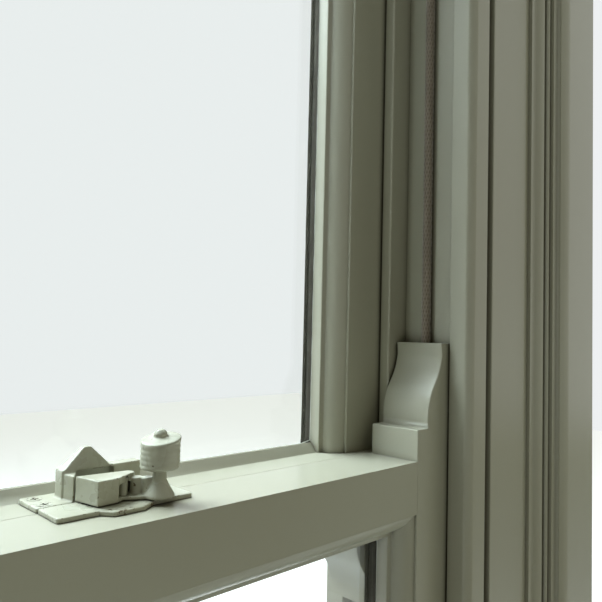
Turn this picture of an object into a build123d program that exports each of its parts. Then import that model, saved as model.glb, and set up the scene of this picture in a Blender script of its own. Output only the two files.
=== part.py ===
from build123d import *
import math
import os

# A box sash window with its frame, in millimetres.
# Origin: centre line, room face of the lower sash, underside of the sill.
# +X is to the right as seen from the room, +Y points outdoors, +Z is up.

# Frame
channel_width = 538.0
stile_thick = 22.0
stile_depth = 102.0
stile_housing = 8.0
lining_thick = 20.0
lining_face = 62.0
lining_ground = 18.0
lining_lip = 7.0
outer_lining_reveal = 12.0
back_lining_thick = 10.0
pocket_width = 56.4
slip_thick = 7.0
slip_width = 34.0
slip_floor_gap = 30.0

# Sill
sill_height = 70.0
sill_nose = 150.0
sill_step = 5.0
sill_fall = 8.0
sill_step_gap = 0.9
drip_radius = 4.0
drip_inset = 10.0

# Beads
bead_reveal = 5.0
bead_depth = 19.1
bead_width = 25.6
bead_side_flat = 14.5
bead_round = 13.0
bead_round_rise = 3.3
bead_edge_round = 2.0
quirk_width = 5.8
sill_bead_height = 24.0
sill_bead_bevel = 8.0
parting_thick = 9.4
parting_reveal = 23.4
parting_nose_radius = 1.5

# Architrave section: widths across the board and rises from the lining face
architrave_width = 96.5
architrave_rise = 20.0
architrave_quirk = 5.0
quirk_floor = 3.0
cove_width = 9.6
cove_rise = 5.0
cove_bow = 1.25
groove_width = 4.0
astragal_width = 5.0
astragal_rise = 10.0
fillet_width = 7.0
fillet_rise = 12.5
ogee_width = 12.0
ogee_shoulder = 6.5

# Sashes
sash_thick = 43.5
side_gap = 1.5
face_gap = 1.0
parting_gap = 1.5
upper_gap = 1.2
end_gap = 0.3
lower_stile_flat = 43.0
upper_stile_flat = 60.8
lower_sash_height = 699.7
upper_sash_height = 701.2
bottom_rail_flat = 75.0
top_rail_flat = 50.0
meeting_rail_height = 39.2
meeting_lap = 3.5
meeting_gap = 0.4
lap_side_gap = 1.6

# Sash moulding, from the flat edge towards the glass
moulding_width = 15.9
moulding_quirk = 2.0
ovolo_width = 12.0
ovolo_depth = 11.0
ovolo_bow_width = 7.4
ovolo_bow_depth = 3.3
nib_depth = 1.6
glass_set_back = 24.6
glass_thick = 4.0
glass_clearance = 1.0
rebate_width = 9.0
putty_depth = 12.0
putty_sight_gap = 1.5
putty_edge = 0.5
rail_rise_height = 7.0
rail_rise_run = 6.0
rail_rise_inset = 1.8

# Horns, measured up from the meeting rail
horn_height = 88.4
horn_block = 23.4
horn_ledge = 13.4
horn_waist = 21.4
horn_waist_height = 56.3
horn_hip = 31.2
horn_hip_height = 79.0
horn_tip = 30.2
horn_neck_bow = 1.1
horn_neck_lift = 1.5
horn_belly_bow = 1.2
horn_belly_lift = 3.0

# Cords, pulleys and weights
cord_diameter = 7.6
cord_groove_width = 13.0
cord_groove_depth = 8.0
cord_groove_length = 300.0
cord_bend_radius = 24.5
cord_seat_gap = 0.2
cord_stand_off = 4.2
pulley_drop = 95.3
pulley_rim_radius = 24.4
pulley_width = 11.0
pulley_pin_radius = 3.0
running_gap = 0.05
groove_floor_width = 4.4
groove_lip_width = 8.8
cheek_gap = 12.4
cheek_thick = 2.0
cheek_height = 62.0
cheek_depth = 37.0
cheek_mortise_gap = 0.2
faceplate_width = 26.0
faceplate_height = 120.0
faceplate_thick = 2.5
face_screw_inset = 10.0
weight_diameter = 38.0
lower_weight_length = 372.0
upper_weight_length = 413.0
weight_neck_radius = 9.0
weight_shoulder = 16.0
weight_chamfer = 3.0
weight_hole_gap = 0.5
weight_hole_depth = 22.0
lower_weight_drop = 67.0
upper_weight_rise = 20.0

# Pocket pieces, the loose covers that let the weights out
pocket_piece_height = 400.0
pocket_piece_width = 40.0
pocket_piece_floor = 60.0
pocket_piece_gap = 0.3
pocket_screw_inset = 15.0

# Screws
screw_head_radius = 4.0
screw_shank_radius = 1.7
screw_length = 18.0
screw_head_depth = 2.2
cross_width = 1.0
cross_length = 4.4
cross_depth = 0.9

# Fastener on the meeting rails
plate_thick = 2.6
plate_joint_gap = 0.1
base_left = -39.8
base_right = 38.9
base_front = 24.0
base_corner = 1.5
base_screw_inset = 25.0
keep_left = -40.1
keep_right = 38.0
keep_back = 72.0
keep_corner = 1.5
keep_screw_inset = 6.5
keep_screw_spacing = 13.0
keep_wall_left = -23.4
keep_wall_right = 24.4
keep_wall_front = 56.2
keep_wall_thick = 8.8
keep_wall_height = 17.6
peak_left = -22.1
peak_right = 4.9
peak_centre = -8.2
peak_height = 28.7
peak_tip_radius = 2.0
keep_pocket_right = 6.8
keep_pocket_height = 16.4
keep_block_proud = 0.5
keep_block_slit = 0.8
keep_block_cut = 150.0
lever_pivot_x = 1.5
lever_pivot_y = 36.0
lever_pin_radius = 2.5
lever_pin_height = 14.4
lever_clearance = 0.3
lever_height = 16.0
block_left_front = -16.6
block_left_back = -20.3
block_front = 28.5
arm_back = 43.5
arm_shoulder = -5.0
arm_shoulder_set = 0.8
arm_end = 6.1
arm_end_radius = 3.75
arm_hollow_start = -4.0
arm_hollow_floor = 5.0
arm_hollow_top = 12.0
arm_hollow_back = 40.0
nose_swing_gap = 0.4
pedestal_x = 18.5
pedestal_y = 27.0
pedestal_foot_radius = 8.5
pedestal_foot_height = 1.6
pedestal_bell_radius = 6.6
pedestal_bell_height = 7.4
pedestal_neck_radius = 3.9
pedestal_neck_height = 12.6
link_lobe_radius = 3.4
link_height = 13.6
link_lobe_shares = (0.28, 0.62)
rib_width = 9.0
knob_bottom = 18.3
knob_height = 16.6
knob_radius = 11.0
knob_foot_edge = 1.5
knob_foot_rise = 1.0
knob_rings = 5
knob_ring_depth = 0.7
knob_ring_width = 1.6
knob_spindle_radius = 2.5
knob_spindle_length = 9.0
knob_cap_lean = 12.0
knob_cap_turn = 24.0
knob_cap_radius = 11.2
knob_cap_thick = 1.3
knob_cap_crown = 1.1
finial_radius = 3.7
finial_height = 5.2

# Places worked out from the sizes above
half_channel = channel_width / 2
stile_back_x = half_channel + stile_thick
pocket_back_x = stile_back_x + pocket_width
box_x = pocket_back_x + back_lining_thick
frame_front = -face_gap
frame_back = frame_front + stile_depth
bead_inner_x = half_channel - bead_reveal
bead_outer_x = bead_inner_x + bead_width
lining_inner_x = bead_outer_x + quirk_width
lining_outer_x = lining_inner_x + lining_face
lining_back_x = lining_outer_x + lining_ground
lining_front = frame_front - lining_thick
architrave_x = lining_outer_x + architrave_width

lower_front = 0.0
lower_back = lower_front + sash_thick
parting_front = lower_back + parting_gap
parting_back = parting_front + parting_thick
upper_front = parting_back + upper_gap
upper_back = upper_front + sash_thick
sash_x = half_channel - side_gap

lower_bottom = sill_height + end_gap
meeting_z = lower_bottom + lower_sash_height
meeting_under = meeting_z - meeting_rail_height
upper_top = meeting_under + upper_sash_height
head_z = upper_top + end_gap
head_top = head_z + stile_thick
lining_head_z = head_z - bead_reveal + bead_width + quirk_width
lining_top = lining_head_z + lining_face
joint_y = lower_back + meeting_lap

lower_flat_x = sash_x - lower_stile_flat
upper_flat_x = sash_x - upper_stile_flat
sill_step_y = parting_back + sill_step_gap
sill_slope = math.tan(math.radians(sill_fall))

pulley_z = head_z - pulley_drop
lower_cord_y = lower_front + sash_thick / 2
upper_cord_y = upper_front + sash_thick / 2
cord_x = half_channel - cord_stand_off
pulley_x = cord_x + cord_bend_radius
weight_x = pulley_x + cord_bend_radius
rebate_shoulder = moulding_width - rebate_width
base_back = joint_y - plate_joint_gap
keep_front = joint_y + meeting_gap + plate_joint_gap
nose_swing_radius = math.hypot(lever_pivot_x - block_left_back, base_back - lever_pivot_y)
nose_clear_radius = nose_swing_radius + nose_swing_gap
knob_top = knob_bottom + knob_height


def save(piece, name):
    """Labels a finished piece and writes it."""
    piece.part.label = name
    export_step(piece.part, f"parts/{name}.step")


def side_view(y):
    """The upright plane at depth y, facing the room: x to the right, y up."""
    return Plane(origin=(0, y, 0), x_dir=(1, 0, 0), z_dir=(0, -1, 0))


def mirrored(piece, name):
    """The left-hand twin of a right-hand piece."""
    with BuildPart() as twin:
        mirror(piece.part, about=Plane.YZ)
    save(twin, name)


def upright_block(x0, x1, y0, y1, z0, z1, mode=Mode.ADD):
    """A square-edged board between two corners."""
    with BuildSketch(Plane.XY.offset(z0)) as face:
        with Locations(((x0 + x1) / 2, (y0 + y1) / 2)):
            Rectangle(x1 - x0, y1 - y0)
    extrude(face.sketch, amount=z1 - z0, mode=mode)


def sill_top(y):
    """Height of the sill's top at depth y."""
    if y <= sill_step_y:
        return sill_height
    return sill_height - sill_step - (y - sill_step_y) * sill_slope


def board_on_sill(x0, x1, y0, y1, top):
    """An upright board whose foot is cut to the sill's top."""
    step = [(sill_step_y, sill_height), (sill_step_y, sill_height - sill_step)]
    foot = step if y0 < sill_step_y < y1 else []
    outline = [(y0, top), (y0, sill_top(y0)), *foot, (y1, sill_top(y1)), (y1, top)]
    with BuildSketch(Plane.YZ.offset(x0)) as face:
        with BuildLine():
            Polyline(*outline, close=True)
        make_face()
    extrude(face.sketch, amount=x1 - x0)


def round_hole(plane, radius, depth):
    """A blind round hole sunk into a part from a plane."""
    with BuildSketch(plane) as face:
        Circle(radius)
    extrude(face.sketch, amount=-depth, mode=Mode.SUBTRACT)


def screw_body(place, mode):
    """Cone and shank of a wood screw, its plane facing out of the surface."""
    with BuildSketch(place) as rim:
        Circle(screw_head_radius)
    with BuildSketch(place.offset(-screw_head_depth)) as neck:
        Circle(screw_shank_radius)
    loft([rim.sketch, neck.sketch], mode=mode)
    extrude(neck.sketch, amount=-(screw_length - screw_head_depth), mode=mode)


def screw(place):
    """One countersunk cross-head wood screw."""
    screw_body(place, Mode.ADD)
    with BuildSketch(place) as cross:
        Rectangle(cross_length, cross_width)
        Rectangle(cross_width, cross_length)
    extrude(cross.sketch, amount=-cross_depth, mode=Mode.SUBTRACT)


os.makedirs("parts", exist_ok=True)

# Sill: flat seat under the lower sash, weathered outside, drip groove below the nose
with BuildPart() as sill:
    with BuildSketch(Plane.YZ.offset(-box_x)):
        with BuildLine():
            Polyline(
                (frame_front, 0),
                (sill_nose, 0),
                (sill_nose, sill_top(sill_nose)),
                (sill_step_y, sill_height - sill_step),
                (sill_step_y, sill_height),
                (frame_front, sill_height),
                close=True,
            )
        make_face()
        with Locations((sill_nose - drip_inset, 0)):
            Circle(drip_radius, mode=Mode.SUBTRACT)
    extrude(amount=2 * box_x)
    upright_block(-bead_outer_x, bead_outer_x, lining_front, frame_front, 0, sill_height)
save(sill, "sill")

# Head: the board over the sashes, housed over both pulley stiles and grooved for its bead
with BuildPart() as head:
    upright_block(-pocket_back_x, pocket_back_x, frame_front, frame_back, head_z, head_top)
    for side in (-1, 1):
        ends = sorted((side * half_channel, side * stile_back_x))
        upright_block(*ends, frame_front, frame_back, head_z, head_z + stile_housing, Mode.SUBTRACT)
    upright_block(
        -half_channel, half_channel, parting_front, parting_back,
        head_z, head_z + stile_housing, Mode.SUBTRACT,
    )
save(head, "head")


def pulley_place(cord_y, z=0.0):
    """The plane on the right pulley stile's face at a pulley, facing the sash."""
    return Plane(
        origin=(half_channel, cord_y, pulley_z + z), x_dir=(0, 1, 0), z_dir=(-1, 0, 0)
    )


def face_screw_places():
    """Where the faceplate screws stand on the right pulley stile."""
    rise = faceplate_height / 2 - face_screw_inset
    return [pulley_place(y, z) for y in (lower_cord_y, upper_cord_y) for z in (-rise, rise)]


pocket_piece_bottom = sill_height + pocket_piece_floor
pocket_piece_top = pocket_piece_bottom + pocket_piece_height
pocket_front = lower_cord_y - pocket_piece_width / 2
pocket_back = lower_cord_y + pocket_piece_width / 2
pocket_screw_place = Plane(
    origin=(half_channel, lower_cord_y, pocket_piece_bottom + pocket_screw_inset),
    x_dir=(0, 1, 0),
    z_dir=(-1, 0, 0),
)

# Pulley stile: grooved for the parting bead, mortised for two pulleys, with the pocket cut out
with BuildPart() as pulley_stile:
    board_on_sill(half_channel, stile_back_x, frame_front, frame_back, head_z + stile_housing)
    upright_block(
        half_channel, half_channel + stile_housing, parting_front, parting_back,
        0, head_z + stile_housing, Mode.SUBTRACT,
    )
    for cord_y in (lower_cord_y, upper_cord_y):
        mortise = cheek_gap / 2 + cheek_thick + cheek_mortise_gap
        reach = cheek_height / 2 + cheek_mortise_gap
        upright_block(
            half_channel, stile_back_x, cord_y - mortise, cord_y + mortise,
            pulley_z - reach, pulley_z + reach, Mode.SUBTRACT,
        )
        upright_block(
            half_channel, half_channel + faceplate_thick,
            cord_y - faceplate_width / 2, cord_y + faceplate_width / 2,
            pulley_z - faceplate_height / 2, pulley_z + faceplate_height / 2, Mode.SUBTRACT,
        )
    for place in face_screw_places():
        round_hole(place, screw_shank_radius, screw_length)
    upright_block(
        half_channel, stile_back_x, pocket_front, pocket_back,
        pocket_piece_bottom, pocket_piece_top, Mode.SUBTRACT,
    )
save(pulley_stile, "pulley_stile_right")
mirrored(pulley_stile, "pulley_stile_left")

# Pocket pieces fill the pockets and lift out once their screw is drawn
with BuildPart() as pocket_pieces:
    upright_block(
        half_channel, stile_back_x,
        pocket_front + pocket_piece_gap, pocket_back - pocket_piece_gap,
        pocket_piece_bottom + pocket_piece_gap, pocket_piece_top - pocket_piece_gap,
    )
    screw_body(pocket_screw_place, Mode.SUBTRACT)
    mirror(about=Plane.YZ)
save(pocket_pieces, "pocket_pieces")

# Linings close the boxes to the room, to the outside and at the back
with BuildPart() as inner_lining:
    upright_block(lining_inner_x, lining_back_x, lining_front, frame_front, 0, lining_top)
    upright_block(bead_outer_x, lining_inner_x, frame_front - lining_lip, frame_front, 0, lining_top)
save(inner_lining, "inner_lining_right")
mirrored(inner_lining, "inner_lining_left")

with BuildPart() as inner_lining_head:
    upright_block(
        -lining_inner_x, lining_inner_x, lining_front, frame_front - lining_lip,
        lining_head_z, lining_top,
    )
    upright_block(
        -bead_outer_x, bead_outer_x, frame_front - lining_lip, frame_front,
        lining_head_z - quirk_width, lining_top,
    )
save(inner_lining_head, "inner_lining_head")

outer_lining_x = half_channel - outer_lining_reveal
with BuildPart() as outer_lining:
    board_on_sill(outer_lining_x, box_x, frame_back, frame_back + lining_thick, lining_top)
save(outer_lining, "outer_lining_right")
mirrored(outer_lining, "outer_lining_left")

with BuildPart() as outer_lining_head:
    upright_block(
        -outer_lining_x, outer_lining_x, frame_back, frame_back + lining_thick,
        head_z - outer_lining_reveal, lining_top,
    )
save(outer_lining_head, "outer_lining_head")

with BuildPart() as back_lining:
    board_on_sill(pocket_back_x, box_x, frame_front, frame_back, head_top)
save(back_lining, "back_lining_right")
mirrored(back_lining, "back_lining_left")

# Parting slips hang from the head and keep each box's two weights apart
slip_y = (parting_front + parting_back) / 2
with BuildPart() as parting_slips:
    upright_block(
        weight_x - slip_width / 2, weight_x + slip_width / 2,
        slip_y - slip_thick / 2, slip_y + slip_thick / 2,
        sill_height + slip_floor_gap, head_z,
    )
    mirror(about=Plane.YZ)
save(parting_slips, "parting_slips")

# Parting beads stand in their grooves between the two sashes
parting_x = half_channel - parting_reveal
with BuildPart() as parting_bead:
    upright_block(
        parting_x, half_channel + stile_housing, parting_front, parting_back, sill_height, head_z
    )
    fillet(
        parting_bead.edges().filter_by(Axis.Z).group_by(Axis.X)[0], parting_nose_radius
    )
save(parting_bead, "parting_bead_right")
mirrored(parting_bead, "parting_bead_left")

with BuildPart() as parting_bead_head:
    upright_block(
        -parting_x, parting_x, parting_front, parting_back,
        head_z - parting_reveal, head_z + stile_housing,
    )
    fillet(
        parting_bead_head.edges().filter_by(Axis.X).group_by(Axis.Z)[0], parting_nose_radius
    )
save(parting_bead_head, "parting_bead_head")


def bead_section():
    """Staff bead section: x outwards from its arris, y towards the room from its back."""
    with BuildLine() as outline:
        Polyline((bead_round, bead_depth), (bead_width - bead_edge_round, bead_depth))
        RadiusArc(
            (bead_width - bead_edge_round, bead_depth),
            (bead_width, bead_depth - bead_edge_round),
            bead_edge_round,
        )
        Polyline((bead_width, bead_depth - bead_edge_round), (bead_width, 0), (0, 0), (0, bead_side_flat))
        ThreePointArc(
            (0, bead_side_flat),
            (bead_round - bead_round * math.cos(math.pi / 4), bead_side_flat + bead_round_rise),
            (bead_round, bead_depth),
        )
    make_face(outline.edges())


def mitre_mask(points, y0, y1):
    """Keeps only what lies within an outline drawn on the window's face."""
    with BuildSketch(side_view(y0)) as face:
        with BuildLine():
            Polyline(*points, close=True)
        make_face()
    extrude(face.sketch, amount=-(y1 - y0), mode=Mode.INTERSECT)


bead_top = head_z - bead_reveal
bead_plane = Plane(origin=(bead_inner_x, frame_front, sill_height), x_dir=(1, 0, 0), z_dir=(0, 0, -1))
with BuildPart() as staff_bead:
    with BuildSketch(bead_plane):
        bead_section()
    extrude(amount=-(bead_top + bead_width - sill_height))
    mitre_mask(
        [
            (bead_inner_x, sill_height),
            (bead_outer_x, sill_height),
            (bead_outer_x, bead_top + bead_width),
            (bead_inner_x, bead_top),
        ],
        frame_front - bead_depth,
        frame_front,
    )
save(staff_bead, "staff_bead_right")
mirrored(staff_bead, "staff_bead_left")

head_bead_plane = Plane(origin=(-bead_outer_x, frame_front, bead_top), x_dir=(0, 0, 1), z_dir=(1, 0, 0))
with BuildPart() as staff_bead_head:
    with BuildSketch(head_bead_plane):
        bead_section()
    extrude(amount=2 * bead_outer_x)
    mitre_mask(
        [
            (-bead_inner_x, bead_top),
            (bead_inner_x, bead_top),
            (bead_outer_x, bead_top + bead_width),
            (-bead_outer_x, bead_top + bead_width),
        ],
        frame_front - bead_depth,
        frame_front,
    )
save(staff_bead_head, "staff_bead_head")

with BuildPart() as staff_bead_sill:
    with BuildSketch(Plane.YZ.offset(-bead_inner_x)):
        with BuildLine():
            Polyline(
                (frame_front, sill_height),
                (frame_front - bead_depth, sill_height),
                (frame_front - bead_depth, sill_height + sill_bead_height - sill_bead_bevel),
                (frame_front - bead_depth + sill_bead_bevel, sill_height + sill_bead_height),
                (frame_front, sill_height + sill_bead_height),
                close=True,
            )
        make_face()
    extrude(amount=2 * bead_inner_x)
save(staff_bead_sill, "staff_bead_sill")


def architrave_section():
    """Architrave section: x outwards from its inner edge, y towards the room from its back."""
    cove_start = architrave_quirk
    groove_start = cove_start + cove_width
    astragal_start = groove_start + groove_width
    fillet_start = astragal_start + astragal_width
    rib_start = fillet_start + fillet_width
    flat_start = rib_start + ogee_width
    rib_rise = (architrave_rise - fillet_rise) / 2
    with BuildLine() as outline:
        Polyline((0, 0), (0, quirk_floor), (cove_start, quirk_floor))
        ThreePointArc(
            (cove_start, quirk_floor),
            (cove_start + cove_width / 2, quirk_floor + cove_rise / 2 + cove_bow),
            (groove_start, quirk_floor + cove_rise),
        )
        Polyline(
            (groove_start, quirk_floor + cove_rise),
            (groove_start, quirk_floor),
            (astragal_start, quirk_floor),
            (astragal_start, astragal_rise - astragal_width / 2),
        )
        ThreePointArc(
            (astragal_start, astragal_rise - astragal_width / 2),
            (astragal_start + astragal_width / 2, astragal_rise),
            (fillet_start, astragal_rise - astragal_width / 2),
        )
        Polyline(
            (fillet_start, astragal_rise - astragal_width / 2),
            (fillet_start, fillet_rise),
            (rib_start, fillet_rise),
            (rib_start, fillet_rise + rib_rise),
        )
        ThreePointArc(
            (rib_start, fillet_rise + rib_rise),
            (rib_start + ogee_width / 2, fillet_rise + ogee_shoulder),
            (flat_start, architrave_rise),
        )
        Polyline(
            (flat_start, architrave_rise),
            (architrave_width, architrave_rise),
            (architrave_width, 0),
            (0, 0),
        )
    make_face(outline.edges())


# Architraves cover the linings' outer edges and meet in mitres over the head
architrave_top = lining_top + architrave_width
architrave_front = lining_front - architrave_rise
architrave_plane = Plane(origin=(lining_outer_x, lining_front, 0), x_dir=(1, 0, 0), z_dir=(0, 0, -1))
with BuildPart() as architrave:
    with BuildSketch(architrave_plane):
        architrave_section()
    extrude(amount=-architrave_top)
    mitre_mask(
        [
            (lining_outer_x, 0),
            (architrave_x, 0),
            (architrave_x, architrave_top),
            (lining_outer_x, lining_top),
        ],
        architrave_front,
        lining_front,
    )
save(architrave, "architrave_right")
mirrored(architrave, "architrave_left")

head_architrave_plane = Plane(
    origin=(-architrave_x, lining_front, lining_top), x_dir=(0, 0, 1), z_dir=(1, 0, 0)
)
with BuildPart() as architrave_head:
    with BuildSketch(head_architrave_plane):
        architrave_section()
    extrude(amount=2 * architrave_x)
    mitre_mask(
        [
            (-lining_outer_x, lining_top),
            (lining_outer_x, lining_top),
            (architrave_x, architrave_top),
            (-architrave_x, architrave_top),
        ],
        architrave_front,
        lining_front,
    )
save(architrave_head, "architrave_head")


def moulding_section():
    """Sash moulding and glass rebate: x from the flat edge to the glass, y in from the face."""
    with BuildLine() as outline:
        ThreePointArc(
            (0, moulding_quirk),
            (ovolo_bow_width, moulding_quirk + ovolo_bow_depth),
            (ovolo_width, moulding_quirk + ovolo_depth),
        )
        Polyline(
            (ovolo_width, moulding_quirk + ovolo_depth),
            (ovolo_width, moulding_quirk + ovolo_depth + nib_depth),
            (moulding_width, moulding_quirk + ovolo_depth + nib_depth),
            (moulding_width, glass_set_back),
            (rebate_shoulder, glass_set_back),
            (rebate_shoulder, sash_thick),
            (0, sash_thick),
            (0, moulding_quirk),
        )
    make_face(outline.edges())


def moulding_strip(plane, length, mask, front):
    """One side's moulding, cut to its mitres by an outline on the window's face."""
    with BuildPart() as strip:
        with BuildSketch(plane):
            moulding_section()
        extrude(amount=length)
        mitre_mask(mask, front, front + sash_thick)
    return strip.part


def side_moulding(flat_x, bottom, top, front, foot_mitre):
    """The right-hand upright moulding of a sash, mitred at the top and, if asked, at the foot."""
    inner_x = flat_x - moulding_width
    foot = bottom + moulding_width if foot_mitre else bottom
    outline = [(flat_x, bottom), (flat_x, top), (inner_x, top - moulding_width), (inner_x, foot)]
    plane = Plane(origin=(flat_x, front, bottom), x_dir=(-1, 0, 0), z_dir=(0, 0, -1))
    return moulding_strip(plane, -(top - bottom), outline, front)


def rail_moulding(flat_x, flat_z, up, front):
    """A rail's moulding, above its flat (up = 1) or below it (up = -1)."""
    inner_x = flat_x - moulding_width
    inner_z = flat_z + up * moulding_width
    outline = [(-flat_x, flat_z), (flat_x, flat_z), (inner_x, inner_z), (-inner_x, inner_z)]
    plane = Plane(origin=(up * flat_x, front, flat_z), x_dir=(0, 0, up), z_dir=(-up, 0, 0))
    return moulding_strip(plane, 2 * flat_x, outline, front)


def stile_outline(flat_x, foot, root, direction, end):
    """Face of a right-hand stile whose horn grows from z = root towards its tip."""

    def at(width, height):
        return (flat_x + width, root + direction * height)

    with BuildLine() as outline:
        Polyline(
            at(0, horn_block),
            (flat_x, end),
            (sash_x, end),
            (sash_x, root + direction * horn_height),
            at(horn_tip + foot, horn_height),
            at(horn_hip + foot, horn_hip_height),
        )
        neck_height = (horn_hip_height + horn_waist_height) / 2 - horn_neck_lift
        ThreePointArc(
            at(horn_hip + foot, horn_hip_height),
            at(foot + (horn_hip + horn_waist) / 2 + horn_neck_bow, neck_height),
            at(horn_waist + foot, horn_waist_height),
        )
        belly_height = (horn_waist_height + horn_block) / 2 + horn_belly_lift
        ThreePointArc(
            at(horn_waist + foot, horn_waist_height),
            at(horn_ledge + foot + horn_belly_bow, belly_height),
            at(horn_ledge + foot, horn_block),
        )
        Polyline(at(horn_ledge + foot, horn_block), at(0, horn_block))
    make_face(outline.edges())


def cord_groove(cord_y, bottom, top):
    """The groove down a stile's edge for its cord."""
    upright_block(
        sash_x - cord_groove_depth, sash_x, cord_y - cord_groove_width / 2,
        cord_y + cord_groove_width / 2, bottom, top, Mode.SUBTRACT,
    )


# Lower sash
lower_horn_top = meeting_z + horn_height
lower_groove_end = lower_horn_top - cord_groove_length
lower_rail_top = lower_bottom + bottom_rail_flat
lower_side_moulding = side_moulding(
    lower_flat_x, lower_rail_top, meeting_under, lower_front, foot_mitre=True
)
with BuildPart() as lower_stile:
    with BuildSketch(side_view(lower_front)):
        stile_outline(lower_flat_x, 0.0, meeting_z, 1, lower_bottom)
    extrude(amount=-sash_thick)
    add(lower_side_moulding)
    cord_groove(lower_cord_y, lower_groove_end, lower_horn_top)
save(lower_stile, "lower_stile_right")
mirrored(lower_stile, "lower_stile_left")

lower_foot_moulding = rail_moulding(lower_flat_x, lower_rail_top, 1, lower_front)
with BuildPart() as lower_bottom_rail:
    upright_block(
        -lower_flat_x, lower_flat_x, lower_front, lower_back, lower_bottom, lower_rail_top
    )
    add(lower_foot_moulding)
save(lower_bottom_rail, "lower_bottom_rail")


base_y = (base_front + base_back) / 2
base_screw_places = [
    Plane(origin=(x, base_y, meeting_z + plate_thick), z_dir=(0, 0, 1))
    for x in (base_left + base_screw_inset, base_right - base_screw_inset)
]
keep_y = (keep_front + keep_back) / 2
keep_screw_places = [
    Plane(origin=(x, y, meeting_z + plate_thick), z_dir=(0, 0, 1))
    for x in (keep_left + keep_screw_inset, keep_right - keep_screw_inset)
    for y in (keep_y - keep_screw_spacing / 2, keep_y + keep_screw_spacing / 2)
]

lap_x = parting_x - lap_side_gap
lower_head_moulding = rail_moulding(lower_flat_x, meeting_under, -1, lower_front)
with BuildPart() as lower_meeting_rail:
    upright_block(
        -lower_flat_x, lower_flat_x, lower_front, lower_back, meeting_under, meeting_z
    )
    with BuildSketch(Plane.YZ.offset(-lap_x)):
        with BuildLine():
            Polyline(
                (joint_y, meeting_z),
                (lower_back, meeting_under),
                (lower_back, meeting_z),
                close=True,
            )
        make_face()
    extrude(amount=2 * lap_x)
    add(lower_head_moulding)
    for place in base_screw_places:
        round_hole(place, screw_shank_radius, screw_length)
save(lower_meeting_rail, "lower_meeting_rail")

# Upper sash
upper_groove_end = upper_top - cord_groove_length
upper_rail_under = upper_top - top_rail_flat
horn_set = upper_stile_flat - lower_stile_flat
upper_side_moulding = side_moulding(
    upper_flat_x, meeting_z, upper_rail_under, upper_front, foot_mitre=False
)
with BuildPart() as upper_stile:
    with BuildSketch(side_view(upper_front)):
        stile_outline(upper_flat_x, horn_set, meeting_under, -1, upper_top)
    extrude(amount=-sash_thick)
    add(upper_side_moulding)
    cord_groove(upper_cord_y, upper_groove_end, upper_top)
save(upper_stile, "upper_stile_right")
mirrored(upper_stile, "upper_stile_left")

upper_head_moulding = rail_moulding(upper_flat_x, upper_rail_under, -1, upper_front)
with BuildPart() as upper_top_rail:
    upright_block(
        -upper_flat_x, upper_flat_x, upper_front, upper_back, upper_rail_under, upper_top
    )
    add(upper_head_moulding)
save(upper_top_rail, "upper_top_rail")

upper_glass_y = upper_front + glass_set_back
upper_joint_y = joint_y + meeting_gap
rise_y = upper_glass_y - rail_rise_inset - rail_rise_run
rise_x = upper_flat_x - moulding_width
rebate_z = meeting_z + rail_rise_height - rebate_width
upper_rebate_x = upper_flat_x - rebate_shoulder
with BuildPart() as upper_meeting_rail:
    upright_block(
        -upper_flat_x, upper_flat_x, upper_front, upper_back, meeting_under, meeting_z
    )
    upright_block(
        -upper_rebate_x, upper_rebate_x, upper_glass_y, upper_back,
        rebate_z, meeting_z, Mode.SUBTRACT,
    )
    with BuildSketch(Plane.YZ.offset(-rise_x)):
        with BuildLine():
            Polyline(
                (rise_y, meeting_z),
                (rise_y + rail_rise_run, meeting_z + rail_rise_height),
                (upper_glass_y, meeting_z + rail_rise_height),
                (upper_glass_y, meeting_z),
                close=True,
            )
        make_face()
    extrude(amount=2 * rise_x)
    with BuildSketch(Plane.YZ.offset(-lap_x)):
        with BuildLine():
            Polyline(
                (upper_front, meeting_z),
                (upper_joint_y, meeting_z),
                (upper_joint_y - meeting_lap, meeting_under),
                (upper_front, meeting_under),
                close=True,
            )
        make_face()
    extrude(amount=2 * lap_x)
    for place in keep_screw_places:
        round_hole(place, screw_shank_radius, screw_length)
save(upper_meeting_rail, "upper_meeting_rail")


def pane(front, half_width, bottom, top):
    """A sheet of glass, its front face at depth front."""
    upright_block(-half_width, half_width, front, front + glass_thick, bottom, top)


def putty_ring(front, half_width, bottom, top):
    """Glazing putty: a bevelled ring from the glass to the rebate's back edge."""
    middle = (bottom + top) / 2
    plane = Plane(origin=(0, front, middle), x_dir=(1, 0, 0), z_dir=(0, -1, 0))
    lip = rebate_width - putty_sight_gap
    with BuildSketch(plane) as bed:
        Rectangle(2 * half_width, top - bottom)
    extrude(bed.sketch, amount=-putty_depth)
    with BuildSketch(plane) as sight:
        Rectangle(2 * (half_width - lip), top - bottom - 2 * lip)
    with BuildSketch(plane.offset(-putty_depth)) as edge:
        Rectangle(2 * (half_width - putty_edge), top - bottom - 2 * putty_edge)
    loft([sight.sketch, edge.sketch], mode=Mode.SUBTRACT)


# Glazing, each pane with its ring of putty outside
lower_glass_y = lower_front + glass_set_back
lower_rebate = (
    lower_flat_x - rebate_shoulder,
    lower_rail_top + rebate_shoulder,
    meeting_under - rebate_shoulder,
)
upper_rebate = (upper_rebate_x, rebate_z, upper_rail_under - rebate_shoulder)
for name, glass_y, (rebate_x, rebate_low, rebate_high) in (
    ("lower", lower_glass_y, lower_rebate),
    ("upper", upper_glass_y, upper_rebate),
):
    with BuildPart() as glass:
        pane(
            glass_y, rebate_x - glass_clearance,
            rebate_low + glass_clearance, rebate_high - glass_clearance,
        )
    save(glass, f"{name}_glass")
    with BuildPart() as putty:
        putty_ring(glass_y + glass_thick, rebate_x, rebate_low, rebate_high)
    save(putty, f"{name}_putty")

# Pulleys: a brass case let into the stile, a wheel on its pin
wheel_floor = cord_bend_radius - cord_diameter / 2 - cord_seat_gap


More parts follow.
